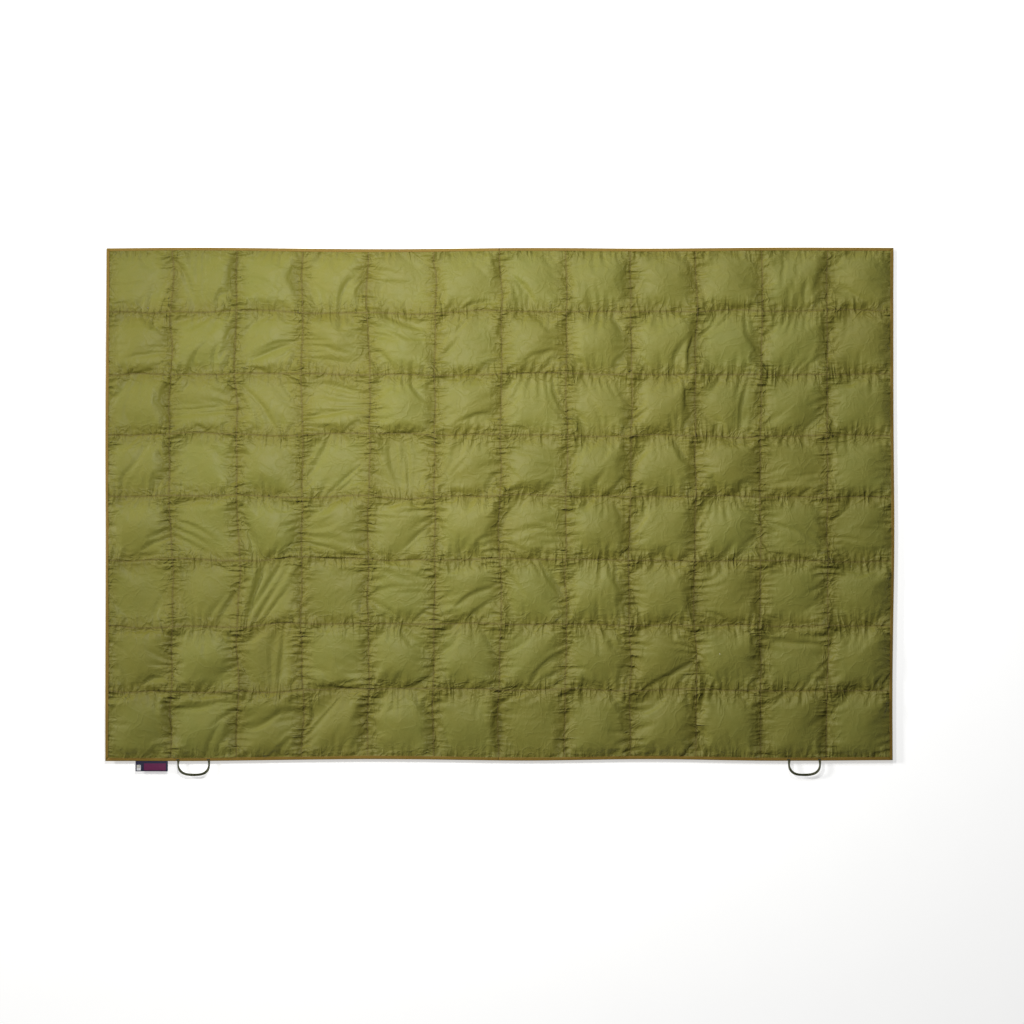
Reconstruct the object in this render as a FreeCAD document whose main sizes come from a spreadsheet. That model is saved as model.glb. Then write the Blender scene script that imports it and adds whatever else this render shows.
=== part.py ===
import FreeCAD, Part
import math
import os
import Sketcher

# Camp quilt, lying flat on the ground with its top face up.
# +X runs along its long side, +Y across it and +Z up. The origin is on the ground under the
# middle of the outline, hanging loops included. Two shells of thin fabric are sewn together in
# a grid of nearly square cells, each cell holds its own pillow of fill, a narrow binding closes
# the four edges, and two tape loops and a woven label hang from the lower edge.
# The quilt folds in thirds along two of its crosswise seams, so each piece that crosses a fold
# is made once for each third.

DRIVING_SIZES = [
    # name, value in millimetres or a count, what it measures
    ("quilt_length", 1950, "outline along X"),
    ("quilt_width", 1270, "outline along Y"),
    ("columns", 12, "cells along X"),
    ("rows", 8, "cells along Y"),
    ("third_columns", 4, "columns of cells in each folding third"),
    ("fabric", 0.5, "thickness of one shell ply"),
    ("top_loft", 19, "height of a pillow's crown above the seam plane"),
    ("back_loft", 11, "depth of a pillow's flat belly below the seam plane"),
    ("seam_land", 7.5, "flat strip from a seam line to a pillow's foot"),
    ("top_flank", 36, "run of a pillow's sloping flank on the top face"),
    ("back_flank", 28, "run of a pillow's sloping flank on the back"),
    ("fold_offset", 1.75, "fold axis to the seam line beside it"),
    ("fold_gap", 0.5, "free gap on each side of a fold axis"),
    ("binding_width", 7, "width of the edge binding on one face"),
    ("binding_wall", 0.5, "thickness of the binding tape"),
    ("thread_width", 1.2, "width of a line of stitches"),
    ("thread_height", 0.4, "height of a line of stitches"),
    ("binding_seam", 5.8, "quilt's edge to the stitches that hold the binding"),
    ("loop_centre", 757, "middle of the quilt to the middle of a loop, along X"),
    ("loop_width", 82, "a loop's outer width"),
    ("loop_reach", 35, "how far a loop stands out from the edge"),
    ("loop_tape", 6, "a loop's tape, seen from above"),
    ("loop_depth", 2, "a loop's tape, seen from the side"),
    ("loop_corner", 24, "bend of a loop's tape at its middle line"),
    ("hem_gap", 1.6, "edge binding to a piece that hangs from it"),
    ("tack_width", 8, "bar tack along the binding"),
    ("tack_length", 3.2, "bar tack across the binding"),
    ("tack_inset", 0.8, "bar tack to the quilt's edge"),
    ("label_centre", 861, "middle of the quilt to the middle of the label, along X"),
    ("label_width", 80, "label along X"),
    ("label_drop", 24, "label's free depth below the edge"),
    ("label_ply", 0.6, "thickness of one ply of the label"),
    ("label_slot", 0.4, "air between the label's two plies"),
    ("label_tack", 6, "side of the square tack that closes the label"),
    ("label_tack_inset", 4, "label's end to its tack"),
]

doc = FreeCAD.newDocument("camp_quilt")
sheet = doc.addObject("Spreadsheet::Sheet", "Sizes")
for row, (name, value, meaning) in enumerate(DRIVING_SIZES, start=1):
    sheet.set("A%d" % row, meaning)
    sheet.set("B%d" % row, str(value))
    sheet.setAlias("B%d" % row, name)
doc.recompute()

# Lengths that several pieces share, as expressions of the sheet's cells.
PITCH_X = "(Sizes.quilt_length / Sizes.columns)"
PITCH_Y = "(Sizes.quilt_width / Sizes.rows)"
HALF_LENGTH = "(Sizes.quilt_length / 2)"
FOLD_LINE = f"({HALF_LENGTH} - Sizes.third_columns * {PITCH_X} + Sizes.fold_offset)"
# The loops lengthen the outline on one side only, so the cells move back by half their reach
# and the whole outline stays centred on the origin.
SHIFT_Y = "((Sizes.loop_reach + Sizes.hem_gap) / 2)"
LOWER_EDGE = f"({SHIFT_Y} - Sizes.quilt_width / 2)"
UPPER_EDGE = f"({SHIFT_Y} + Sizes.quilt_width / 2)"
SEAM_PLANE = "Sizes.back_loft"
TOP_FACE = f"({SEAM_PLANE} + Sizes.fabric)"
BACK_FACE = f"({SEAM_PLANE} - Sizes.fabric)"

THIRDS = ["left", "middle", "right"]
pieces = []


def finished(item, label):
    """Name a finished piece and keep it for the export."""
    item.Label = label
    pieces.append(item)
    return item


def bind(item, **paths):
    """Tie properties to expressions. Two underscores in a name stand for a dot."""
    for path, expression in paths.items():
        item.setExpression(path.replace("__", "."), expression)


def column_line(index):
    """X of the seam line to the left of a column, as an expression."""
    return f"({index} * {PITCH_X} - {HALF_LENGTH})"


def row_line(index):
    """Y of the seam line below a row, as an expression."""
    return f"({LOWER_EDGE} + {index} * {PITCH_Y})"


def third_columns(third):
    """Numbers of the first and last column of a third, counted from 0."""
    count = int(sheet.get("third_columns"))
    first = THIRDS.index(third) * count
    return first, first + count - 1


def third_span(third, margin):
    """Left and right X of what a third carries, held back from the quilt's own ends by margin."""
    end = f"({HALF_LENGTH} - {margin})"
    inside = f"({FOLD_LINE} - Sizes.fold_gap)"
    outside = f"({FOLD_LINE} + Sizes.fold_gap)"
    spans = {"left": (f"(-{end})", f"(-{outside})"),
             "middle": (f"(-{inside})", inside),
             "right": (outside, end)}
    return spans[third]


# ---- building blocks ----

def origin_item(body, role):
    """One of a body's own origin planes or axes."""
    return next(item for item in body.Origin.OriginFeatures if item.Role == role)


def rectangle(body, name, plane, width, height, at=("0", "0", "0")):
    """A rectangle on one of the body's planes, centred on the offset in at."""
    sketch = body.newObject("Sketcher::SketchObject", name)
    sketch.AttachmentSupport = (origin_item(body, plane), [""])
    sketch.MapMode = "FlatFace"
    corners = [FreeCAD.Vector(x, y, 0) for x, y in ((-9, -9), (9, -9), (9, 9), (-9, 9))]
    for index, corner in enumerate(corners):
        sketch.addGeometry(Part.LineSegment(corner, corners[(index + 1) % 4]))
    for index in range(4):
        sketch.addConstraint(Sketcher.Constraint("Coincident", index, 2, (index + 1) % 4, 1))
        direction = "Vertical" if index % 2 else "Horizontal"
        sketch.addConstraint(Sketcher.Constraint(direction, index))
    sketch.addConstraint(Sketcher.Constraint("Symmetric", 0, 1, 2, 1, -1, 1))
    across = sketch.addConstraint(Sketcher.Constraint("DistanceX", 0, 1, 0, 2, 18))
    along = sketch.addConstraint(Sketcher.Constraint("DistanceY", 1, 1, 1, 2, 18))
    sketch.setExpression(f"Constraints[{across}]", width)
    sketch.setExpression(f"Constraints[{along}]", height)
    bind(sketch, AttachmentOffset__Base__x=at[0], AttachmentOffset__Base__y=at[1],
         AttachmentOffset__Base__z=at[2])
    return sketch


def frustum(body, kind, name, centre, foot, crown, flank):
    """A loft between a cell's foot rectangle at height foot and its smaller crown rectangle."""
    width = f"({PITCH_X} - 2 * Sizes.seam_land)"
    height = f"({PITCH_Y} - 2 * Sizes.seam_land)"
    low = rectangle(body, name + "Foot", "XY_Plane", width, height, (*centre, foot))
    high = rectangle(body, name + "Crown", "XY_Plane", f"{width} - 2 * {flank}",
                     f"{height} - 2 * {flank}", (*centre, crown))
    loft = body.newObject("PartDesign::" + kind, name)
    loft.Profile = low
    loft.Sections = [high]
    loft.Ruled = True
    return loft


def repeat_cells(body, name, originals, across_third=False):
    """Repeat features up every row of a column, and over all the columns of a third."""
    pattern = body.newObject("PartDesign::LinearPattern", name)
    pattern.Originals = originals
    pattern.Direction = (origin_item(body, "Y_Axis"), [""])
    bind(pattern, Occurrences="Sizes.rows", Length=f"{PITCH_Y} * (Sizes.rows - 1)")
    if across_third:
        pattern.Direction2 = (origin_item(body, "X_Axis"), [""])
        bind(pattern, Occurrences2="Sizes.third_columns",
             Length2=f"{PITCH_X} * (Sizes.third_columns - 1)")
    body.Tip = pattern


def slab(name, low, high):
    """A Part::Box between two corners given as expressions."""
    box = doc.addObject("Part::Box", name)
    bind(box, Length=f"{high[0]} - {low[0]}", Width=f"{high[1]} - {low[1]}",
         Height=f"{high[2]} - {low[2]}", Placement__Base__x=low[0], Placement__Base__y=low[1],
         Placement__Base__z=low[2])
    return box


def group(name, solids):
    """Several separate solids that make one piece."""
    compound = doc.addObject("Part::Compound", name)
    compound.Links = solids
    return compound


# ---- shells: a flat ply with one hollow pillow blown out of it in every cell ----

def make_shell(third, face):
    """The top or back ply of one third, from edge to edge across the quilt."""
    top = face == "top"
    label = f"{face}_shell_{third}"
    body = doc.addObject("PartDesign::Body", label)
    left, right = third_span(third, "Sizes.binding_wall")
    middle = f"(({left} + {right}) / 2)"
    first = third_columns(third)[0]
    cell = (f"({column_line(first)} + {PITCH_X} / 2)", f"({row_line(0)} + {PITCH_Y} / 2)")

    ply = rectangle(body, "Ply", "XY_Plane", f"{right} - {left}",
                    "Sizes.quilt_width - 2 * Sizes.binding_wall", (middle, SHIFT_Y, SEAM_PLANE))
    sheet_pad = body.newObject("PartDesign::Pad", "FlatPly")
    sheet_pad.Profile = ply
    sheet_pad.Reversed = not top
    bind(sheet_pad, Length="Sizes.fabric")

    if top:
        outer = (TOP_FACE, f"{SEAM_PLANE} + Sizes.top_loft", "Sizes.top_flank")
        inner = (SEAM_PLANE, f"{SEAM_PLANE} + Sizes.top_loft - Sizes.fabric", "Sizes.top_flank")
    else:
        outer = (BACK_FACE, "0", "Sizes.back_flank")
        inner = (SEAM_PLANE, "Sizes.fabric", "Sizes.back_flank")
    blister = frustum(body, "AdditiveLoft", "Blister", cell, *outer)
    hollow = frustum(body, "SubtractiveLoft", "Hollow", cell, *inner)
    repeat_cells(body, "Cells", [blister, hollow], across_third=True)
    finished(body, label)


# ---- fill: one pillow in each cell, kept apart by the seams ----

def make_fill_column(index):
    """The eight pillows of one column."""
    label = f"down_fill_column_{index + 1:02d}"
    body = doc.addObject("PartDesign::Body", label)
    cell = (f"({column_line(index)} + {PITCH_X} / 2)", f"({row_line(0)} + {PITCH_Y} / 2)")
    crown = frustum(body, "AdditiveLoft", "Crown", cell, SEAM_PLANE,
                    f"{SEAM_PLANE} + Sizes.top_loft - Sizes.fabric", "Sizes.top_flank")
    belly = frustum(body, "AdditiveLoft", "Belly", cell, SEAM_PLANE, "Sizes.fabric",
                    "Sizes.back_flank")
    repeat_cells(body, "Rows", [crown, belly])
    finished(body, label)


# ---- binding: a tape folded round the raw edge, its slot holding both plies ----

def make_binding(label, low, high, slot_low, slot_high):
    """One run of binding; low and high are its outer corners in X and Y."""
    bottom = f"({BACK_FACE} - Sizes.binding_wall)"
    top = f"({TOP_FACE} + Sizes.binding_wall)"
    tape = slab(label + "_tape", (*low, bottom), (*high, top))
    slot = slab(label + "_slot", (*slot_low, BACK_FACE), (*slot_high, TOP_FACE))
    cut = doc.addObject("Part::Cut", label)
    cut.Base = tape
    cut.Tool = slot
    finished(cut, label)


def make_bindings():
    """Two side runs over the full width, and the long edges in thirds between them."""
    width = "Sizes.binding_width"
    wall = "Sizes.binding_wall"
    for third in THIRDS:
        left, right = third_span(third, width)
        make_binding(f"binding_top_{third}",
                     (left, f"({UPPER_EDGE} - {width})"), (right, UPPER_EDGE),
                     (left, f"({UPPER_EDGE} - {width})"), (right, f"({UPPER_EDGE} - {wall})"))
        make_binding(f"binding_bottom_{third}",
                     (left, LOWER_EDGE), (right, f"({LOWER_EDGE} + {width})"),
                     (left, f"({LOWER_EDGE} + {wall})"), (right, f"({LOWER_EDGE} + {width})"))
    inner = f"({HALF_LENGTH} - {width})"
    cloth = f"({HALF_LENGTH} - {wall})"
    low_cloth = f"({LOWER_EDGE} + {wall})"
    high_cloth = f"({UPPER_EDGE} - {wall})"
    make_binding("binding_left_side", (f"(-{HALF_LENGTH})", LOWER_EDGE), (f"(-{inner})", UPPER_EDGE),
                 (f"(-{cloth})", low_cloth), (f"(-{inner})", high_cloth))
    make_binding("binding_right_side", (inner, LOWER_EDGE), (HALF_LENGTH, UPPER_EDGE),
                 (inner, low_cloth), (cloth, high_cloth))


# ---- stitches: raised lines of thread on both faces ----

def both_faces(name, low, high, over="0"):
    """The same line of thread on the top face and on the back; over is what it lies on."""
    above = f"({TOP_FACE} + {over})"
    below = f"({BACK_FACE} - {over})"
    return [slab(name + "_over", (*low, above), (*high, f"({above} + Sizes.thread_height)")),
            slab(name + "_under", (*low, f"({below} - Sizes.thread_height)"), (*high, below))]


def make_vertical_stitches(index):
    """A crosswise quilting line, in runs between the lengthwise lines that it meets."""
    half = "(Sizes.thread_width / 2)"
    rows = int(sheet.get("rows"))
    threads = []
    for row in range(rows):
        start = f"({LOWER_EDGE} + Sizes.binding_width)" if row == 0 else f"({row_line(row)} + {half})"
        last = row == rows - 1
        end = f"({UPPER_EDGE} - Sizes.binding_width)" if last else f"({row_line(row + 1)} - {half})"
        threads += both_faces(f"column_thread_{index}_{row}",
                              (f"({column_line(index)} - {half})", start),
                              (f"({column_line(index)} + {half})", end))
    label = f"vertical_stitches_{index:02d}"
    finished(group(label, threads), label)


def make_horizontal_stitches(third):
    """The lengthwise quilting lines of one third."""
    left, right = third_span(third, "Sizes.binding_width")
    half = "(Sizes.thread_width / 2)"
    threads = []
    for row in range(1, int(sheet.get("rows"))):
        threads += both_faces(f"row_thread_{third}_{row}",
                              (left, f"({row_line(row)} - {half})"),
                              (right, f"({row_line(row)} + {half})"))
    label = f"horizontal_stitches_{third}"
    finished(group(label, threads), label)


def make_binding_stitches(third):
    """The stitches that hold the binding of one third, on the tape's inner margin."""
    seam = "Sizes.binding_seam"
    width = "Sizes.thread_width"
    left, right = third_span(third, f"({seam} + {width})")
    tape = "Sizes.binding_wall"
    threads = both_faces(f"upper_edge_{third}", (left, f"({UPPER_EDGE} - {seam})"),
                         (right, f"({UPPER_EDGE} - {seam} + {width})"), tape)
    threads += both_faces(f"lower_edge_{third}", (left, f"({LOWER_EDGE} + {seam} - {width})"),
                          (right, f"({LOWER_EDGE} + {seam})"), tape)
    if third != "middle":
        near = f"({HALF_LENGTH} - {seam})"
        far = f"({HALF_LENGTH} - {seam} + {width})"
        span = (near, far) if third == "right" else (f"(-{far})", f"(-{near})")
        threads += both_faces(f"side_edge_{third}", (span[0], f"({LOWER_EDGE} + {seam})"),
                              (span[1], f"({UPPER_EDGE} - {seam})"), tape)
    label = f"binding_stitches_{third}"
    finished(group(label, threads), label)


# ---- hanging loops and label ----

def make_loop(side, sign):
    """A tape bent into a flat U: two short legs, two bends and a straight bottom."""
    label = f"{side}_loop"
    body = doc.addObject("PartDesign::Body", label)
    path = body.newObject("Sketcher::SketchObject", "Path")
    path.AttachmentSupport = (origin_item(body, "XY_Plane"), [""])
    path.MapMode = "FlatFace"
    half, leg, bend = 38, 9, 24
    low = leg + bend
    turn = math.pi / 2
    point = FreeCAD.Vector
    left_circle = Part.Circle(point(bend - half, -leg, 0), point(0, 0, 1), bend)
    right_circle = Part.Circle(point(half - bend, -leg, 0), point(0, 0, 1), bend)
    path.addGeometry(Part.LineSegment(point(-half, 0, 0), point(-half, -leg, 0)))
    path.addGeometry(Part.ArcOfCircle(left_circle, 2 * turn, 3 * turn))
    path.addGeometry(Part.LineSegment(point(bend - half, -low, 0), point(half - bend, -low, 0)))
    path.addGeometry(Part.ArcOfCircle(right_circle, 3 * turn, 4 * turn))
    path.addGeometry(Part.LineSegment(point(half, -leg, 0), point(half, 0, 0)))
    for index in range(4):
        path.addConstraint(Sketcher.Constraint("Tangent", index, 2, index + 1, 1))
    path.addConstraint(Sketcher.Constraint("Horizontal", 2))
    path.addConstraint(Sketcher.Constraint("PointOnObject", 0, 1, -1))
    path.addConstraint(Sketcher.Constraint("Symmetric", 0, 1, 4, 2, -2))
    span = path.addConstraint(Sketcher.Constraint("DistanceX", 0, 1, 4, 2, 2 * half))
    path.addConstraint(Sketcher.Constraint("Equal", 1, 3))
    radius = path.addConstraint(Sketcher.Constraint("Radius", 1, bend))
    depth = path.addConstraint(Sketcher.Constraint("DistanceY", 2, 1, 0, 1, low))
    path.setExpression(f"Constraints[{span}]", "Sizes.loop_width - Sizes.loop_tape")
    path.setExpression(f"Constraints[{radius}]", "Sizes.loop_corner")
    path.setExpression(f"Constraints[{depth}]", "Sizes.loop_reach - Sizes.loop_tape / 2")
    section = rectangle(body, "TapeSection", "XZ_Plane", "Sizes.loop_tape", "Sizes.loop_depth",
                        ("-(Sizes.loop_width - Sizes.loop_tape) / 2", "0", "0"))
    tape = body.newObject("PartDesign::AdditivePipe", "Tape")
    tape.Profile = section
    tape.Spine = path
    bind(body, Placement__Base__x=f"{sign} * Sizes.loop_centre",
         Placement__Base__y=f"{LOWER_EDGE} - Sizes.hem_gap", Placement__Base__z=SEAM_PLANE)
    finished(body, label)


def make_loop_tacks(side, sign):
    """Bar tacks on the binding, over the two roots of a loop, on both faces."""
    low = f"({LOWER_EDGE} + Sizes.tack_inset)"
    high = f"({LOWER_EDGE} + Sizes.tack_inset + Sizes.tack_length)"
    reach = "(Sizes.loop_width - Sizes.loop_tape) / 2"
    threads = []
    for leg in (-1, 1):
        middle = f"({sign} * Sizes.loop_centre + {leg} * {reach})"
        threads += both_faces(f"{side}_tack_{leg + 2}",
                              (f"({middle} - Sizes.tack_width / 2)", low),
                              (f"({middle} + Sizes.tack_width / 2)", high), "Sizes.binding_wall")
    label = f"{side}_loop_bar_tacks"
    finished(group(label, threads), label)


def make_label():
    """A woven strip folded double at its free end, and the thread tack that closes it."""
    left = "(-Sizes.label_centre - Sizes.label_width / 2)"
    right = "(-Sizes.label_centre + Sizes.label_width / 2)"
    root = f"({LOWER_EDGE} - Sizes.hem_gap)"
    end = f"({root} - Sizes.label_drop)"
    slot_end = f"({end} + Sizes.label_ply)"
    half_slot = "(Sizes.label_slot / 2)"
    half_thick = f"({half_slot} + Sizes.label_ply)"
    strip = slab("label_strip", (left, end, f"({SEAM_PLANE} - {half_thick})"),
                 (right, root, f"({SEAM_PLANE} + {half_thick})"))
    slot = slab("label_air", (left, slot_end, f"({SEAM_PLANE} - {half_slot})"),
                (right, root, f"({SEAM_PLANE} + {half_slot})"))
    label = doc.addObject("Part::Cut", "label")
    label.Base = strip
    label.Tool = slot
    finished(label, "label")

    corner_x = f"({left} + Sizes.label_tack_inset)"
    corner_y = f"({root} - Sizes.label_drop / 2 - Sizes.label_tack / 2)"
    face = f"({SEAM_PLANE} + {half_thick})"
    tack = slab("label_bar_tack", (corner_x, corner_y, face),
                (f"({corner_x} + Sizes.label_tack)", f"({corner_y} + Sizes.label_tack)",
                 f"({face} + Sizes.thread_height)"))
    finished(tack, "label_bar_tack")


# ---- the whole quilt ----

for third in THIRDS:
    make_shell(third, "top")
    make_shell(third, "back")
    make_horizontal_stitches(third)
    make_binding_stitches(third)
for column in range(int(sheet.get("columns"))):
    make_fill_column(column)
for line in range(1, int(sheet.get("columns"))):
    make_vertical_stitches(line)
make_bindings()
for side, sign in (("left", -1), ("right", 1)):
    make_loop(side, sign)
    make_loop_tacks(side, sign)
make_label()

doc.recompute()
for item in doc.Objects:
    if "Invalid" in item.State or "Error" in item.State:
        raise RuntimeError(f"{item.Label} failed: {item.State}")
for piece in pieces:
    if piece.Shape.isNull() or not piece.Shape.isValid():
        raise RuntimeError(f"{piece.Label} has no valid shape")

os.makedirs("parts", exist_ok=True)
for piece in pieces:
    piece.Shape.exportStep(f"parts/{piece.Label}.step")
volume = sum(piece.Shape.Volume for piece in pieces)
print(f"{len(pieces)} pieces, {volume / 1e9:.5f} cubic metres")
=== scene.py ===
import math
import bpy
import numpy as np
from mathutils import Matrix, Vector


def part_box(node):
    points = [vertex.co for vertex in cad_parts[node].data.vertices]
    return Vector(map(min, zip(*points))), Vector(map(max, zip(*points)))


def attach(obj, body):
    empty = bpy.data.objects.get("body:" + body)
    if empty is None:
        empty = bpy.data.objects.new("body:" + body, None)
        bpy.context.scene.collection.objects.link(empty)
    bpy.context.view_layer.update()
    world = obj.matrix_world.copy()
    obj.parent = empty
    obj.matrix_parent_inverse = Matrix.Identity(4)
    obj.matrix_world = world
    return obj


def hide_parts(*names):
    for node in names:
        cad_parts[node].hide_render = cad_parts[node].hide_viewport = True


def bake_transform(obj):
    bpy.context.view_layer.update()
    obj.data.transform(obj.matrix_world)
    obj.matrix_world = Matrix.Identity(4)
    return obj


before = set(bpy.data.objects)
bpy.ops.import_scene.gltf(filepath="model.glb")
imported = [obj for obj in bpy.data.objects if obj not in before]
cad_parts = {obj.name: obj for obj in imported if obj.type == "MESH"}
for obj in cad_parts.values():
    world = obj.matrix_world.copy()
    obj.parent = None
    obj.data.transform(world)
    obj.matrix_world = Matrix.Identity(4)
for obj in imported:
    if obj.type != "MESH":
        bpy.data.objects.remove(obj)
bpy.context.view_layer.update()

# The quilt lies on the floor with its long side along X, its loops and label towards -Y.
# Its outline and its seams are placed from the CAD nodes' boxes.

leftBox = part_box("binding_left_side")
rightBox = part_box("binding_right_side")
left = leftBox[0].x
right = rightBox[1].x
lower = leftBox[0].y
upper = leftBox[1].y
seamHeight = (leftBox[0].z + leftBox[1].z) / 2
length = right - left
width = upper - lower
columns = 12
rows = 8
pitchX = length / columns
pitchY = width / rows
middleX = (left + right) / 2


def lookStraightDown():
    view = {"lens": 85, "across": 2.538, "x": 0.032, "y": 0.0}
    bpy.ops.object.camera_add(rotation=(0, 0, 0))
    camera = bpy.context.object
    camera.name = "camera"
    camera.data.lens = view["lens"]
    distance = view["across"] * view["lens"] / camera.data.sensor_width
    camera.location = (view["x"], view["y"], seamHeight + distance)
    bpy.context.scene.camera = camera
    bpy.context.scene.view_settings.view_transform = "Standard"


lookStraightDown()
print("camera set")


# small helpers

def pickOnly(piece):
    if bpy.context.object and bpy.context.object.mode != "OBJECT":
        bpy.ops.object.mode_set(mode="OBJECT")
    bpy.ops.object.select_all(action="DESELECT")
    piece.select_set(True)
    bpy.context.view_layer.objects.active = piece


def readPoints(piece):
    flat = np.empty(len(piece.data.vertices) * 3)
    piece.data.vertices.foreach_get("co", flat)
    return flat.reshape(-1, 3)


def writePoints(piece, points):
    piece.data.vertices.foreach_set("co", np.ascontiguousarray(points, dtype=float).ravel())
    piece.data.update()


def addModifier(piece, kind, **values):
    pickOnly(piece)
    modifier = piece.modifiers.new(kind.title(), kind)
    for name, value in values.items():
        setattr(modifier, name, value)
    bpy.ops.object.modifier_apply(modifier=modifier.name)


def smoothFaces(piece, angle=180):
    pickOnly(piece)
    if angle >= 180:
        bpy.ops.object.shade_smooth()
    else:
        bpy.ops.object.shade_smooth_by_angle(angle=math.radians(angle))


def selectFaces(piece, chosen):
    # leaves the piece in edit mode with only these faces selected
    pickOnly(piece)
    bpy.ops.object.mode_set(mode="EDIT")
    bpy.ops.mesh.select_mode(type="FACE")
    bpy.ops.mesh.select_all(action="DESELECT")
    bpy.ops.object.mode_set(mode="OBJECT")
    piece.data.polygons.foreach_set("select", chosen)
    bpy.ops.object.mode_set(mode="EDIT")


def flipFaces(piece):
    selectFaces(piece, np.ones(len(piece.data.polygons), dtype=bool))
    bpy.ops.mesh.flip_normals()


def addMesh(name, points, faces, angle=180):
    mesh = bpy.data.meshes.new(name)
    mesh.from_pydata(np.concatenate(points).tolist(), [], faces)
    piece = bpy.data.objects.new(name, mesh)
    bpy.context.scene.collection.objects.link(piece)
    smoothFaces(piece, angle)
    return piece


def addGrid(name, acrossX, acrossY, sizeX=1.0, sizeY=1.0, centre=(0, 0, 0)):
    bpy.ops.object.select_all(action="DESELECT")
    bpy.ops.mesh.primitive_grid_add(x_subdivisions=acrossX, y_subdivisions=acrossY, size=1, location=centre)
    grid = bpy.context.object
    grid.name = name
    grid.data.name = name
    bpy.ops.transform.resize(value=(sizeX, sizeY, 1), center_override=centre)
    bpy.ops.object.transform_apply(location=True, rotation=True, scale=True)
    return grid


def splineWeights(place, count):
    low = np.clip(np.floor(place).astype(int), 0, count - 4)
    t = place - low
    first = (1 - t) ** 3 / 6
    second = (3 * t ** 3 - 6 * t ** 2 + 4) / 6
    third = (1 + 3 * t + 3 * t ** 2 - 3 * t ** 3) / 6
    return low, (first, second, third, t ** 3 / 6)


def softNoise(x, y, size, seed):
    # smooth seeded noise, about -1 to 1, with bumps about size apart
    across = (np.asarray(x) - left + 0.05) / size
    along = (np.asarray(y) - lower + 0.05) / size
    shape = (int((length + 0.1) / size) + 5, int((width + 0.1) / size) + 5)
    lattice = np.random.default_rng(seed).standard_normal(shape)
    lowX, weightsX = splineWeights(across, shape[0])
    lowY, weightsY = splineWeights(along, shape[1])
    total = 0.0
    for i in range(4):
        for j in range(4):
            total = total + weightsX[i] * weightsY[j] * lattice[lowX + i, lowY + j]
    return total * 1.6


def seamDistances(x, y):
    # distance to the nearest crosswise seam, and to the nearest lengthwise one
    u = (x - left) / pitchX
    v = (y - lower) / pitchY
    return np.abs(u - np.round(u)) * pitchX, np.abs(v - np.round(v)) * pitchY


def edgeDistance(x, y):
    return np.minimum(np.minimum(x - left, right - x), np.minimum(y - lower, upper - y))


# the sewn lines: how they pucker, and how handling has pulled them about

seams = {
    "wave": 0.017,        # distance from one pucker to the next along a seam
    "pucker": 0.0009,     # height of the puckers in the seam itself
    "depth": 0.0018,      # height of the gathers beside it before the cloth settles
    "reach": 0.016,       # how far the gathers run into a cell
    "drift": 3.4,         # how unevenly they are spaced
    "tug": 0.0013,        # sideways pull from one crossing to the next
    "wander": 0.0025,     # sideways pull along one seam
    "sway": 0.0022,       # how far the outline waves in and out
    "limp": 0.5,          # how much more the left end has been pulled about
    "fade": 0.007,        # how far the puckers carry to either side
    "crossing": 0.008,    # they are calm this near a crossing
    "hem": 0.005,         # and this near the edge
    "hemFade": 0.01,
    "still": 0.06,        # the pull fades out this near the edge
    "rowDrift": (0, 0.014, 0.017, 0.019, 0.020, 0.013, 0.005, 0.003, 0),
    "seed": 21,
}


def seamPuckers(x, y):
    strength = 0.35 + np.abs(softNoise(x, y, pitchX / 4, 5))
    along = softNoise(x, y, pitchX / 3, 1)
    across = softNoise(x, y, pitchX / 3, 2)
    rowWave = np.sin(2 * np.pi * x / seams["wave"] + seams["drift"] * along)
    columnWave = np.sin(2 * np.pi * y / seams["wave"] + seams["drift"] * across)
    return strength * rowWave, strength * columnWave


def seamLevel(x, y):
    # height of the seams above the seam plane, fading away into the cells
    toColumn, toRow = seamDistances(x, y)
    near = np.minimum(toColumn, toRow)
    far = np.maximum(toColumn, toRow)
    rowWave, columnWave = seamPuckers(x, y)
    wave = np.where(toRow < toColumn, rowWave, columnWave)
    calm = np.clip(far / seams["crossing"], 0, 1)
    calm = calm * np.clip((edgeDistance(x, y) - seams["hem"]) / seams["hemFade"], 0, 1)
    return seams["pucker"] * wave * calm * np.exp(-near / seams["fade"])


def rowDrift(y):
    # the lengthwise seams aren't sewn quite evenly: the middle rows sit a little towards the upper edge
    return np.interp(y, lower + pitchY * np.arange(rows + 1), seams["rowDrift"])


def seamShift(x, y):
    inner = np.clip(edgeDistance(x, y) / seams["still"], 0, 1)
    limp = 1 + seams["limp"] * np.clip(-(x - middleX) / (length / 2), -0.5, 1)
    shift = []
    for axis in range(2):
        seed = seams["seed"] + axis
        pull = seams["tug"] * softNoise(x, y, pitchX, seed)
        pull = pull + seams["wander"] * softNoise(x, y, pitchX / 3, seed + 2)
        sway = seams["sway"] * softNoise(x, y, pitchX * 1.7, seed + 4)
        shift.append(inner * limp * pull + sway)
    shift[1] = shift[1] + rowDrift(y)
    return shift


# shells: two sewn layers blown up by the fill

topShell = {"steps": 32, "pressure": 32, "frames": 8, "leastExcess": 0.045, "mostExcess": 0.070, "side": 1}
backShell = {"steps": 22, "pressure": 25, "frames": 7, "leastExcess": 0.025, "mostExcess": 0.045, "side": -1}
shellCloth = {
    "thickness": 0.0003,
    "gap": 0.0004,        # least distance of each outer face from the seam's height
    "floorGap": 0.0004,
    "dome": 0.1,          # how steeply each cell starts to rise from its seams
    "crumple": 0.001,
    "crumpleSize": 0.03,
    "gatherStart": 0.006,
    "fullnessSteps": 10,
    "pullFrames": 4,      # the seams are pulled about during these frames
}


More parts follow.
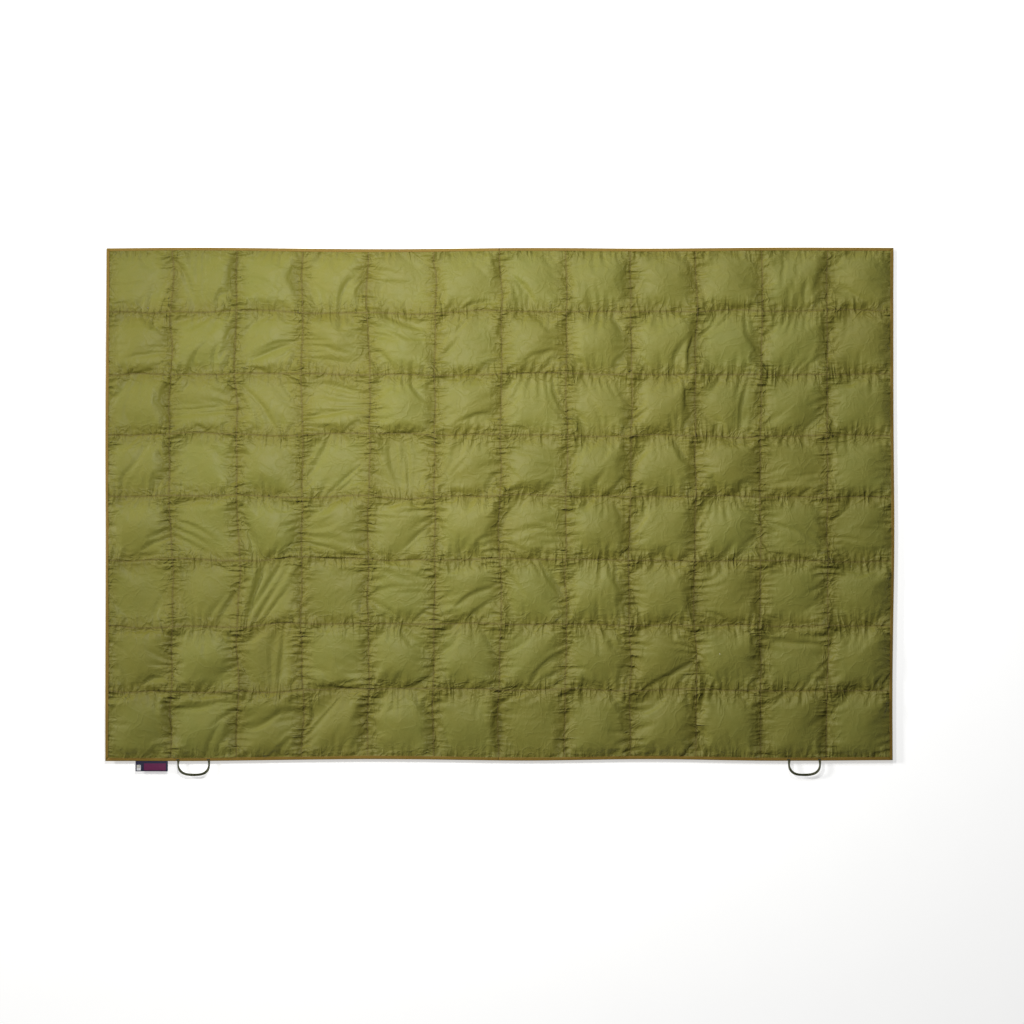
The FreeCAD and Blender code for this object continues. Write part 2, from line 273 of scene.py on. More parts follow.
def holdSeams(sheet, x, y, settings):
    # the seams and the bound edge are pinned, and the cells start slightly domed and gathered
    toColumn, toRow = seamDistances(x, y)
    near = np.minimum(toColumn, toRow)
    hem = edgeDistance(x, y) < pitchX / settings["steps"] * 1.2
    held = (near < 1e-5) | hem
    rowWave, columnWave = seamPuckers(x, y)
    beside = rowWave * np.exp(-toRow / seams["reach"]) + columnWave * np.exp(-toColumn / seams["reach"])
    crumple = shellCloth["crumple"] * softNoise(x, y, shellCloth["crumpleSize"], 11 + settings["side"])
    away = np.clip(near / shellCloth["gatherStart"], 0, 1)
    start = shellCloth["dome"] * near + crumple + seams["depth"] * beside * away
    points = readPoints(sheet)
    points[:, 1] += rowDrift(y)
    points[:, 2] = np.where(held, settings["side"] * seamLevel(x, y), start)
    writePoints(sheet, points)
    pins = sheet.vertex_groups.new(name="seams")
    pins.add(np.flatnonzero(held).tolist(), 1.0, "REPLACE")
    fullness = sheet.vertex_groups.new(name="fullness")
    amount = np.clip(0.5 + 0.4 * softNoise(x, y, pitchX * 0.9, 31), 0, 1)
    steps = shellCloth["fullnessSteps"]
    for step in range(steps + 1):
        chosen = np.flatnonzero(np.round(amount * steps) == step).tolist()
        fullness.add(chosen, step / steps, "REPLACE")
    return points


def pullSeams(sheet, points, x, y):
    sheet.shape_key_add(name="Basis")
    pulled = sheet.shape_key_add(name="pulled")
    shiftX, shiftY = seamShift(x, y)
    moved = points.copy()
    moved[:, 0] += shiftX
    moved[:, 1] += shiftY - rowDrift(y)
    pulled.data.foreach_set("co", moved.ravel())
    pulled.value = 0
    pulled.keyframe_insert("value", frame=1)
    pulled.value = 1
    pulled.keyframe_insert("value", frame=shellCloth["pullFrames"])


def blowUp(sheet, settings):
    modifier = sheet.modifiers.new("Cloth", "CLOTH")
    modifier.point_cache.frame_start = 1
    modifier.point_cache.frame_end = settings["frames"]
    fabric = modifier.settings
    fabric.quality = 5
    fabric.mass = 0.002
    fabric.air_damping = 2
    fabric.tension_stiffness = 15
    fabric.compression_stiffness = 15
    fabric.shear_stiffness = 5
    fabric.bending_stiffness = 0.02
    fabric.shrink_min = -settings["leastExcess"]
    fabric.shrink_max = -settings["mostExcess"]
    fabric.vertex_group_shrink = "fullness"
    fabric.vertex_group_mass = "seams"
    fabric.use_pressure = True
    fabric.uniform_pressure_force = settings["pressure"]
    fabric.effector_weights.gravity = 0
    modifier.collision_settings.use_collision = False
    modifier.collision_settings.use_self_collision = False
    lastFrame = settings["frames"]
    for number in range(1, lastFrame + 1):
        bpy.context.scene.frame_set(number)
    pickOnly(sheet)
    bpy.ops.object.convert(target="MESH")
    bpy.context.scene.frame_set(1)


def settle(sheet, x, y, side):
    # brings the layer to the seams' height, clear of the other layer and flat on the floor
    points = readPoints(sheet)
    level = seamLevel(x, y)
    rise = np.maximum(points[:, 2], side * level + shellCloth["gap"])
    if side > 0:
        points[:, 2] = seamHeight + rise
    else:
        room = seamHeight - shellCloth["floorGap"]
        points[:, 2] = seamHeight - room * np.tanh(rise / room)
    writePoints(sheet, points)
    return points


def creaseSeams(sheet, x, y):
    # the cloth folds sharply where it is sewn down
    ends = np.empty(len(sheet.data.edges) * 2, dtype=np.int32)
    sheet.data.edges.foreach_get("vertices", ends)
    ends = ends.reshape(-1, 2)
    toColumn, toRow = seamDistances(x, y)
    alongColumn = (toColumn[ends].max(axis=1) < 1e-5) & (np.abs(np.diff(x[ends])[:, 0]) < 1e-5)
    alongRow = (toRow[ends].max(axis=1) < 1e-5) & (np.abs(np.diff(y[ends])[:, 0]) < 1e-5)
    sheet.data.edges.foreach_set("use_edge_sharp", alongColumn | alongRow)


def makeShell(name, settings):
    steps = settings["steps"]
    centre = (middleX, (lower + upper) / 2, 0)
    sheet = addGrid(name, columns * steps, rows * steps, length, width, centre)
    flat = readPoints(sheet)
    x = flat[:, 0]
    y = flat[:, 1].copy()
    points = holdSeams(sheet, x, y, settings)
    pullSeams(sheet, points, x, y)
    blowUp(sheet, settings)
    sheet.vertex_groups.clear()
    settled = settle(sheet, x, y, settings["side"])
    order = np.lexsort((np.round(x, 5), np.round(y, 5)))
    surface = settled[order].reshape(rows * steps + 1, columns * steps + 1, 3)

    creaseSeams(sheet, x, y)
    corners = np.empty(len(sheet.data.polygons) * 4, dtype=np.int32)
    sheet.data.polygons.foreach_get("vertices", corners)
    east = x[corners].reshape(-1, 4).mean(axis=1) > middleX
    selectFaces(sheet, east)
    bpy.ops.mesh.separate(type="SELECTED")
    bpy.ops.object.mode_set(mode="OBJECT")
    other = [piece for piece in bpy.context.selected_objects if piece != sheet][0]
    halves = []
    for half, part in ((sheet, "West"), (other, "East")):
        half.name = name + part
        half.data.name = half.name
        if settings["side"] < 0:
            flipFaces(half)
        smoothFaces(half)
        addModifier(half, "SOLIDIFY", thickness=shellCloth["thickness"], offset=-1, use_even_offset=False)
        halves.append(half)
    return halves, surface


def onSurface(surface, x, y):
    # the place on a settled shell of the cloth that was at x, y when it lay flat
    u = np.clip((np.asarray(x) - left) / length, 0, 1) * (surface.shape[1] - 1)
    v = np.clip((np.asarray(y) - lower) / width, 0, 1) * (surface.shape[0] - 1)
    i = np.minimum(u.astype(int), surface.shape[1] - 2)
    j = np.minimum(v.astype(int), surface.shape[0] - 2)
    s = (u - i)[..., None]
    t = (v - j)[..., None]
    near = surface[j, i] * (1 - s) + surface[j, i + 1] * s
    far = surface[j + 1, i] * (1 - s) + surface[j + 1, i + 1] * s
    return near * (1 - t) + far * t


(topShellWest, topShellEast), topSurface = makeShell("topShell", topShell)
print("top shell blown up")
(backShellWest, backShellEast), backSurface = makeShell("backShell", backShell)
print("back shell blown up")


# binding: a tape folded round the edge, mitred at the corners

binding = {
    "width": 0.007,
    "thickness": 0.0005,
    "lift": 0.0006,       # how far the tape stands off the cloth that it holds
    "step": 0.005,        # distance between its points along the edge
    "seam": 0.0058,       # where it is sewn through
    "ripple": 0.0004,
    "rippleSize": 0.05,
}


def bothPlies(ply, turn):
    # a fold in section: one ply, the turn, and the other ply back again
    return ply + [turn] + [(place, -face) for place, face in reversed(ply)]


bindingPly = [(1.0, 1.0), (0.86, 1.0), (0.6, 1.0), (0.35, 1.0), (0.15, 0.95), (0.04, 0.6)]
bindingProfile = bothPlies(bindingPly, (0.0, 0.0))


def edgePoint(side, along, inset):
    # a flat point at a share along one side of the quilt, inset from it, mitred at both ends
    if side in ("top", "bottom"):
        x = left + inset + along * (length - 2 * inset)
        y = upper - inset if side == "top" else lower + inset
        return x, y + 0 * x
    y = lower + inset + along * (width - 2 * inset)
    x = left + inset if side == "left" else right - inset
    return x + 0 * y, y


def onBinding(side, along, inset, face):
    # face runs from 1, the top ply, through 0, the folded edge, to -1, the back ply
    x, y = edgePoint(side, along, inset)
    shiftX, shiftY = seamShift(x, y)
    topHeight = onSurface(topSurface, x, y)[..., 2] + binding["lift"]
    backHeight = onSurface(backSurface, x, y)[..., 2] - binding["lift"]
    height = seamHeight + np.where(face > 0, topHeight - seamHeight, seamHeight - backHeight) * face
    ripple = binding["ripple"] * softNoise(x, y, binding["rippleSize"], 41)
    return np.stack((x + shiftX, y + shiftY, height + ripple * (1 - np.abs(face))), axis=-1)


def bindEdge(name, side, start, end):
    longSide = side in ("top", "bottom")
    count = int(round((end - start) * (length if longSide else width) / binding["step"]))
    tape = addGrid(name, len(bindingProfile) - 1, count)
    flat = readPoints(tape)
    across = np.round((flat[:, 0] + 0.5) * (len(bindingProfile) - 1)).astype(int)
    along = start + (flat[:, 1] + 0.5) * (end - start)
    profile = np.array(bindingProfile)[across]
    writePoints(tape, onBinding(side, along, profile[:, 0] * binding["width"], profile[:, 1]))
    # the grid's faces point outwards on two of the sides and inwards on the others
    if side in ("top", "left"):
        flipFaces(tape)
    smoothFaces(tape)
    addModifier(tape, "SOLIDIFY", thickness=binding["thickness"], offset=1)
    return tape


bindings = {name: bindEdge(name, side, start, end) for name, side, start, end in (
    ("bindingTopWest", "top", 0, 0.5),
    ("bindingTopEast", "top", 0.5, 1),
    ("bindingBottomWest", "bottom", 0, 0.5),
    ("bindingBottomEast", "bottom", 0.5, 1),
    ("bindingLeftSide", "left", 0, 1),
    ("bindingRightSide", "right", 0, 1),
)}
print("binding folded round the edge")


# stitches: one modelled, then laid end to end along every seam on both faces

stitch = {"long": 0.0031, "wide": 0.0009, "high": 0.0006, "pitch": 0.004, "slim": 0.55}


def modelStitch():
    # a thread that dives at both ends
    bpy.ops.object.select_all(action="DESELECT")
    bpy.ops.mesh.primitive_cylinder_add(vertices=6, radius=0.5, depth=1, end_fill_type="NGON",
                                        rotation=(0, math.pi / 2, 0))
    piece = bpy.context.object
    bpy.ops.object.transform_apply(location=True, rotation=True, scale=True)
    bpy.ops.object.mode_set(mode="EDIT")
    bpy.ops.mesh.select_mode(type="EDGE")
    bpy.ops.mesh.select_all(action="DESELECT")
    bpy.ops.object.mode_set(mode="OBJECT")
    ends = readPoints(piece)[:, 0]
    for edge in piece.data.edges:
        edge.select = bool(abs(ends[edge.vertices[0]] - ends[edge.vertices[1]]) > 0.5)
    bpy.ops.object.mode_set(mode="EDIT")
    bpy.ops.mesh.subdivide(number_cuts=1)
    bpy.ops.object.mode_set(mode="OBJECT")
    points = readPoints(piece)
    atEnd = np.abs(points[:, 0]) > 0.25
    slim = np.where(atEnd, stitch["slim"], 1.0)
    points[:, 1] *= slim
    points[:, 2] = points[:, 2] * slim - np.where(atEnd, 0.35, 0)
    writePoints(piece, points)
    return piece


stitchModel = modelStitch()


def sewAlong(name, runs, size=stitch):
    # each run holds the middle points of its stitches, their directions and the way they face
    shape = readPoints(stitchModel) * (size["long"], size["wide"], size["high"])
    sides = [list(face.vertices) for face in stitchModel.data.polygons]
    points = []
    faces = []
    for centres, along, up in runs:
        along = along / np.linalg.norm(along, axis=1, keepdims=True)
        across = np.cross(np.broadcast_to((0.0, 0.0, float(up)), along.shape), along)
        across /= np.linalg.norm(across, axis=1, keepdims=True)
        normal = np.cross(along, across)
        turned = (shape[None, :, 0, None] * along[:, None] + shape[None, :, 1, None] * across[:, None]
                  + shape[None, :, 2, None] * normal[:, None])
        first = sum(len(block) for block in points)
        points.append((centres[:, None] + turned).reshape(-1, 3))
        for number in range(len(centres)):
            base = first + number * len(shape)
            faces.extend([[base + corner for corner in side] for side in sides])
    return addMesh(name, points, faces, 50)


def seamRun(x, y, face):
    # middle points and directions of stitches along flat points, on the top or back face
    ends = []
    proud = shellCloth["gap"] + stitch["high"] * 0.3
    for offset in (-0.5, 0.5):
        stepX = offset * stitch["long"] * (np.abs(x[-1] - x[0]) > np.abs(y[-1] - y[0]))
        stepY = offset * stitch["long"] - stepX
        shiftX, shiftY = seamShift(x + stepX, y + stepY)
        height = seamHeight + seamLevel(x + stepX, y + stepY) + face * proud
        ends.append(np.stack((x + stepX + shiftX, y + stepY + shiftY, height), axis=-1))
    return (ends[0] + ends[1]) / 2, ends[1] - ends[0], face


def stitchPlaces(start, end):
    count = int((end - start) / stitch["pitch"])
    return start + (np.arange(count) + 0.5) * (end - start) / count


margin = binding["width"] + 0.001
verticalStitches = []
for number in range(1, columns):
    y = stitchPlaces(lower + margin, upper - margin)
    x = left + number * pitchX + 0 * y
    name = "verticalStitches%02d" % number
    verticalStitches.append(sewAlong(name, [seamRun(x, y, 1), seamRun(x, y, -1)]))

horizontalStitches = []
for name, start, end in (("horizontalStitchesWest", left + margin, middleX),
                         ("horizontalStitchesEast", middleX, right - margin)):
    runs = []
    for number in range(1, rows):
        x = stitchPlaces(start, end)
        y = lower + number * pitchY + 0 * x
        runs.extend([seamRun(x, y, 1), seamRun(x, y, -1)])
    horizontalStitches.append(sewAlong(name, runs))


def bindingRun(side, start, end, face):
    longSide = side in ("top", "bottom")
    full = length if longSide else width
    along = stitchPlaces(start * full, end * full) / full
    half = stitch["long"] / 2 / full
    lift = binding["thickness"] + stitch["high"] * 0.25
    ends = [onBinding(side, along + offset, binding["seam"], np.full(along.shape, float(face)))
            for offset in (-half, half)]
    centres = (ends[0] + ends[1]) / 2
    centres[:, 2] += face * lift
    return centres, ends[1] - ends[0], face


bindingStitches = []
for name, end, start, finish in (("bindingStitchesWest", "left", 0.003, 0.5),
                                 ("bindingStitchesEast", "right", 0.5, 0.997)):
    runs = []
    for face in (1, -1):
        runs.append(bindingRun("top", start, finish, face))
        runs.append(bindingRun("bottom", start, finish, face))
        runs.append(bindingRun(end, 0.005, 0.995, face))
    bindingStitches.append(sewAlong(name, runs))
print("stitches sewn")


# fill: a lumpy closed pillow in every cell

fill = {
    "steps": 16,
    "inset": 0.010,       # least distance from a seam
    "edgeInset": 0.013,
    "foldInset": 0.036,   # from the seams that fold
    "pressed": 0.22,      # how thick it is left at a fold
    "foldFade": 0.02,
    "share": 0.92,        # how much of the room between the shells it takes
    "lumps": 0.06,
    "clear": 0.0008,
    "thin": 0.0001,
    "spot": 0.0055,       # the room is looked up in a map of spots this size
    "border": 4,
}


def modelPillow():
    # two domed squares joined round their edges
    steps = fill["steps"]
    pillow = addGrid("pillow", steps, steps)
    points = readPoints(pillow)
    points[:, 2] = 0.25 - np.maximum(np.abs(points[:, 0]), np.abs(points[:, 1])) / 2
    writePoints(pillow, points)
    bpy.ops.object.mode_set(mode="EDIT")
    bpy.ops.mesh.select_all(action="SELECT")
    bpy.ops.mesh.duplicate()
    bpy.ops.transform.resize(value=(1, 1, -1), center_override=(0, 0, 0))
    bpy.ops.mesh.select_all(action="SELECT")
    bpy.ops.mesh.remove_doubles(threshold=0.001)
    bpy.ops.mesh.normals_make_consistent(inside=False)
    bpy.ops.object.mode_set(mode="OBJECT")
    return pillow


def roomInside(surface, side):
    # the least height of the shell round every spot, so that no crease of it cuts the fill
    size = fill["spot"]
    border = fill["border"]
    shape = (int(width / size) + 2 * border, int(length / size) + 2 * border)
    room = np.full(shape, 1.0)
    rise = side * (surface[..., 2] - seamHeight)
    acrossSpot = ((surface[..., 0] - left) / size).astype(int) + border
    alongSpot = ((surface[..., 1] - lower) / size).astype(int) + border
    np.minimum.at(room, (alongSpot.ravel(), acrossSpot.ravel()), rise.ravel())
    for axis in (0, 1):
        room = np.minimum.reduce([np.roll(room, step, axis=axis) for step in (-2, -1, 0, 1, 2)])
    return room


def roomAt(room, x, y):
    row = ((y - lower) / fill["spot"]).astype(int) + fill["border"]
    column = ((x - left) / fill["spot"]).astype(int) + fill["border"]
    return room[row, column]


pillowModel = modelPillow()
topRoom = roomInside(topSurface, 1)
backRoom = roomInside(backSurface, -1)
zones = {"left": 0.045, "right": 0.032}      # half length of the part that bends at each fold
foldX = {"left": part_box("top_shell_left")[1].x, "right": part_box("top_shell_right")[0].x}


def insetAt(seam):
    # how far the fill stays from a crosswise seam: most where the quilt folds
    if seam in (0, columns):
        return fill["edgeInset"]
    x = left + seam * pitchX
    atFold = min(abs(x - foldX["left"]), abs(x - foldX["right"])) < 0.01
    return fill["foldInset"] if atFold else fill["inset"]


def foldThinning(x):
    # the fill is pressed thin where the quilt bends, so it stays between the shells when folded
    share = np.ones(len(x))
    for side in ("left", "right"):
        near = np.clip(np.abs(x - foldX[side]) / (zones[side] + fill["foldFade"]), 0, 1)
        share = np.minimum(share, fill["pressed"] + (1 - fill["pressed"]) * near ** 2)
    return share


def fillColumn(number):
    shape = readPoints(pillowModel)
    sides = [list(face.vertices) for face in pillowModel.data.polygons]
    points = []
    faces = []
    for row in range(rows):
        lowX = left + number * pitchX + insetAt(number)
        highX = left + (number + 1) * pitchX - insetAt(number + 1)
        lowY = lower + row * pitchY + (fill["inset"] if row else fill["edgeInset"])
        highY = lower + (row + 1) * pitchY - (fill["inset"] if row < rows - 1 else fill["edgeInset"])
        x = lowX + (shape[:, 0] + 0.5) * (highX - lowX)
        y = lowY + (shape[:, 1] + 0.5) * (highY - lowY)
        lump = (fill["share"] + fill["lumps"] * softNoise(x, y, 0.02, 61)) * foldThinning(x)
        shiftX, shiftY = seamShift(x, y)
        placeX = x + shiftX
        placeY = y + shiftY
        rise = np.maximum(roomAt(topRoom, placeX, placeY) * lump - fill["clear"], fill["thin"])
        drop = np.maximum(roomAt(backRoom, placeX, placeY) * lump - fill["clear"], fill["thin"])
        height = seamHeight + np.where(shape[:, 2] > 1e-4, rise, np.where(shape[:, 2] < -1e-4, -drop, 0))
        base = sum(len(block) for block in points)
        points.append(np.stack((placeX, placeY, height), axis=-1))
        faces.extend([[base + corner for corner in side] for side in sides])
    return addMesh("downFillColumn%02d" % (number + 1), points, faces)


fills = [fillColumn(number) for number in range(columns)]
print("fill in place")


# tie loops: a flat tape bent into a U, with both ends under the binding

loop = {
    "tape": 0.0062,
    "thickness": 0.0013,
    "steps": 90,
    "across": 6,
    "route": [(-0.0375, 0.007, 0), (-0.0378, 0.002, 0), (-0.0387, -0.006, 0.3), (-0.0380, -0.016, 0.9),
              (-0.0310, -0.0275, 1.2), (-0.0170, -0.0330, 0.6), (0.0, -0.0336, 0.2), (0.0170, -0.0332, 0.5),
              (0.0305, -0.0280, 1.3), (0.0380, -0.0165, 1.0), (0.0385, -0.006, 0.4), (0.0378, 0.002, 0),
              (0.0375, 0.007, 0)],
    "lean": 0.25,         # how unevenly the tape turns out of the flat, in radians
    "upright": 0.95,      # how far it stands on its edge along the legs
}


def smoothRoute(route, steps):
    points = np.array(route, dtype=float)
    points = np.concatenate((2 * points[:1] - points[1:2], points, 2 * points[-1:] - points[-2:-1]))
    place = np.linspace(0, len(points) - 3 - 1e-9, steps)
    low, weights = splineWeights(place, len(points))
    return sum(weights[i][:, None] * points[low + i] for i in range(4))


def makeLoop(name, box, mirror, seed):
    centre = (box[0].x + box[1].x) / 2
    route = smoothRoute(loop["route"], loop["steps"])
    route[:, 0] = centre + mirror * route[:, 0]
    route[:, 1] += box[1].y
    route[:, 2] = seamHeight + 0.001 * route[:, 2]
    ahead = np.gradient(route, axis=0)
    ahead /= np.linalg.norm(ahead, axis=1, keepdims=True)
    share = np.linspace(0, 1, loop["steps"])
    generator = np.random.default_rng(seed)
    phases = generator.uniform(0, 2 * np.pi, 2)
    turns = 2 * np.pi * share
    lean = loop["lean"] * (np.sin(turns * 1.5 + phases[0]) + 0.5 * np.sin(turns * 3.2 + phases[1]))
    fromEnd = np.minimum(share, 1 - share)
    lean += loop["upright"] * np.exp(-((fromEnd - 0.2) / 0.09) ** 2) * np.sign(0.5 - share)
    lean *= np.clip(fromEnd / 0.12, 0, 1) ** 1.5
    flatSide = np.cross((0, 0, 1.0), ahead)
    flatSide /= np.linalg.norm(flatSide, axis=1, keepdims=True)
    up = np.cross(ahead, flatSide)
    tape = addGrid(name, loop["across"], loop["steps"] - 1)
    flat = readPoints(tape)
    row = np.round((flat[:, 1] + 0.5) * (loop["steps"] - 1)).astype(int)
    offset = flat[:, 0] * loop["tape"]
    side = flatSide * np.cos(lean)[:, None] + up * np.sin(lean)[:, None]
    writePoints(tape, route[row] + side[row] * offset[:, None])
    addModifier(tape, "SOLIDIFY", thickness=loop["thickness"], offset=0)
    addModifier(tape, "BEVEL", width=0.0003, segments=2, limit_method="ANGLE", angle_limit=math.radians(50))
    smoothFaces(tape, 40)
    return tape


leftLoop = makeLoop("leftLoop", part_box("left_loop"), 1, 71)
rightLoop = makeLoop("rightLoop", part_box("right_loop"), -1, 72)
print("loops made")


# label: a woven strip folded double, hanging from the lower edge

label = {"ply": 0.0006, "steps": 64, "wave": 0.0012, "under": 0.001, "flat": (0.08, 0.048)}
labelPly = [(0.0, 1), (0.12, 1), (0.3, 1), (0.5, 1), (0.7, 1), (0.85, 1), (0.94, 0.95), (0.985, 0.6)]


def makeLabel():
    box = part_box("label")
    drop = box[1].y - box[0].y
    profile = bothPlies(labelPly, (1.0, 0))
    piece = addGrid("sewnLabel", label["steps"], len(profile) - 1)
    flat = readPoints(piece)
    place = np.round((flat[:, 1] + 0.5) * (len(profile) - 1)).astype(int)
    shape = np.array(profile)[place]
    x = (box[0].x + box[1].x) / 2 + flat[:, 0] * (box[1].x - box[0].x)
    y = box[1].y + label["under"] - shape[:, 0] * (drop + label["under"])
    lift = label["wave"] * softNoise(x, y + 0.03, 0.03, 81) * shape[:, 0]
    z = seamHeight + shape[:, 1] * (0.0005 + 0.0004 * shape[:, 0] * (1 - shape[:, 0]) * 4) + lift
    writePoints(piece, np.stack((x, y, z), axis=-1))
    flipFaces(piece)
    return piece


labelPiece = makeLabel()
addModifier(labelPiece, "SOLIDIFY", thickness=label["ply"], offset=1)
smoothFaces(labelPiece, 50)
print("label made")


# bar tacks: close rows of thread over the roots of the loops, and a square of them on the label

tack = {
    "threads": 9,
    "wide": 0.00055,
    "labelWide": 0.0009,
    "high": 0.0006,
    "span": 0.008,
    "inset": 0.0003,
    "over": 0.001,        # how far the label's threads reach past its tack
    "slant": (1.0, 0.02, 0.0),
}


def makeLoopTacks(name, node):
    low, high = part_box(node)
    span = tack["span"]
    slants = np.tile(tack["slant"], (tack["threads"], 1))
    runs = []
    for lowX in (low.x, high.x - span):
        y = np.linspace(low.y + tack["inset"], high.y - tack["inset"], tack["threads"])
        along = (lowX + span / 2 - left - (y - lower)) / (length - 2 * (y - lower))
        for face in (1, -1):
            places = onBinding("bottom", along, y - lower, np.full(y.shape, float(face)))
            places[:, 2] += face * (binding["thickness"] + tack["high"] * 0.25)
            runs.append((places, slants, face))
    return sewAlong(name, runs, {"long": span, "wide": tack["wide"], "high": tack["high"]})


def makeLabelTack():
    low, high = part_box("label_bar_tack")
    y = np.linspace(low.y - tack["over"] / 2, high.y + tack["over"] / 2, tack["threads"])
    x = np.full(y.shape, (low.x + high.x) / 2)
    z = np.full(y.shape, seamHeight + label["ply"] + 0.0013)
    size = {"long": high.x - low.x + 2 * tack["over"], "wide": tack["labelWide"], "high": tack["high"]}
    run = (np.stack((x, y, z), axis=-1), np.tile(tack["slant"], (len(y), 1)), 1)
    return sewAlong("labelTack", [run], size)


leftLoopTacks = makeLoopTacks("leftLoopTacks", "left_loop_bar_tacks")
rightLoopTacks = makeLoopTacks("rightLoopTacks", "right_loop_bar_tacks")
labelTack = makeLabelTack()
print("tacks sewn")

for model in (stitchModel, pillowModel):
    bpy.data.objects.remove(model)


# shader node helpers

def feed(tree, socket, value):
    if isinstance(value, bpy.types.NodeSocket):
        tree.links.new(value, socket)
    elif value is not None:
        socket.default_value = value


def mathNode(tree, operation, first, second=None, third=None):
    node = tree.nodes.new("ShaderNodeMath")
    node.operation = operation
    for socket, value in zip(node.inputs, (first, second, third)):
        feed(tree, socket, value)
    return node.outputs[0]


def times(tree, first, second):
    return mathNode(tree, "MULTIPLY", first, second)


def timesPlus(tree, first, second, third):
    return mathNode(tree, "MULTIPLY_ADD", first, second, third)


def between(tree, value, low, high):
    above = mathNode(tree, "GREATER_THAN", value, low)
    return times(tree, above, mathNode(tree, "LESS_THAN", value, high))


def mixColour(tree, amount, first, second, blend="MIX"):
    node = tree.nodes.new("ShaderNodeMix")
    node.data_type = "RGBA"
    node.blend_type = blend
    feed(tree, node.inputs["Factor"], amount)
    feed(tree, node.inputs["A"], first)
    feed(tree, node.inputs["B"], second)
    return node.outputs["Result"]


def toneTo(tree, colour, mask, share, other):
    return mixColour(tree, times(tree, mask, share), colour, other)


def remap(tree, value, fromLow, fromHigh, toLow=0.0, toHigh=1.0):
    node = tree.nodes.new("ShaderNodeMapRange")
    node.clamp = True
    limits = {"From Min": fromLow, "From Max": fromHigh, "To Min": toLow, "To Max": toHigh}
    for name, limit in limits.items():
        feed(tree, node.inputs[name], limit)
    feed(tree, node.inputs["Value"], value)
    return node.outputs["Result"]


def noiseNode(tree, vector, scale, detail=3.0, roughness=0.5, distortion=0.0):
    node = tree.nodes.new("ShaderNodeTexNoise")
    feed(tree, node.inputs["Vector"], vector)
    feed(tree, node.inputs["Scale"], scale)
    feed(tree, node.inputs["Detail"], detail)
    feed(tree, node.inputs["Roughness"], roughness)
    feed(tree, node.inputs["Distortion"], distortion)
    return node.outputs["Fac"]


def splitVector(tree, vector):
    node = tree.nodes.new("ShaderNodeSeparateXYZ")
    feed(tree, node.inputs[0], vector)
    return node.outputs


def newGroup(name, inputs, outputs):
    # an input with no value takes a vector, one with four a colour, and the others a number
    group = bpy.data.node_groups.new(name, "ShaderNodeTree")
    for socketName, value in inputs.items():
        kind = "Vector" if value is None else "Color" if isinstance(value, tuple) else "Float"
        socket = group.interface.new_socket(name=socketName, in_out="INPUT", socket_type="NodeSocket" + kind)
        if value is not None:
            socket.default_value = value
    for socketName in outputs:
        kind = "Color" if socketName == "Colour" else "Float"
        group.interface.new_socket(name=socketName, in_out="OUTPUT", socket_type="NodeSocket" + kind)
    return group, group.nodes.new("NodeGroupInput").outputs, group.nodes.new("NodeGroupOutput").inputs


def useGroup(tree, group, **values):
    node = tree.nodes.new("ShaderNodeGroup")
    node.node_tree = group
    for name, value in values.items():
        feed(tree, node.inputs[name], value)
    return node.outputs


def awayFromLine(group, place):
    # distance of a place from the nearest whole number
    return mathNode(group, "ABSOLUTE", mathNode(group, "SUBTRACT", place, mathNode(group, "ROUND", place)))


def buildWeave():
    # over and under of crossing yarns, as a height and as a shade
    yarns = {"Vector": None, "Warp": 2000.0, "Weft": 2000.0}
    group, given, result = newGroup("weave", yarns, ("Height", "Shade"))
    axes = splitVector(group, given["Vector"])
    warp = mathNode(group, "SINE", times(group, axes["X"], given["Warp"]))
    weft = mathNode(group, "SINE", times(group, axes["Y"], given["Weft"]))
    cross = times(group, warp, weft)
    uneven = noiseNode(group, given["Vector"], 260.0, 2.0, 0.6)
    feed(group, result["Height"], timesPlus(group, cross, 0.5, times(group, uneven, 0.8)))
    feed(group, result["Shade"], remap(group, timesPlus(group, cross, 0.35, uneven), 0.1, 1.1))
    return group


def buildDrift():
    # slow change of dye and fine mottling between two colours
    tones = {"Vector": None, "Colour": (1, 1, 1, 1), "Drifted": (1, 1, 1, 1), "Scale": 3.0}
    group, given, result = newGroup("colourDrift", tones, ("Colour", "Amount"))
    slow = noiseNode(group, given["Vector"], given["Scale"], 3.0, 0.55, 0.3)
    fine = noiseNode(group, given["Vector"], times(group, given["Scale"], 14.0), 3.0, 0.6)
    amount = remap(group, timesPlus(group, fine, 0.45, times(group, slow, 0.75)), 0.38, 0.82)
    feed(group, result["Colour"], mixColour(group, amount, given["Colour"], given["Drifted"]))
    feed(group, result["Amount"], amount)
    return group


def buildCrinkle():
    # creases that thin coated cloth keeps from being stuffed away
    group, given, result = newGroup("crinkle", {"Vector": None, "Scale": 30.0}, ("Height",))
    broad = noiseNode(group, given["Vector"], given["Scale"], 2.0, 0.5, 0.8)
    ridge = mathNode(group, "ABSOLUTE", timesPlus(group, broad, 2.0, -1.0))
    ridge = mathNode(group, "POWER", mathNode(group, "SUBTRACT", 1.0, ridge), 6.0)
    fine = noiseNode(group, given["Vector"], times(group, given["Scale"], 4.0), 3.0, 0.6, 0.4)
    feed(group, result["Height"], timesPlus(group, ridge, 0.6, times(group, fine, 0.5)))
    return group


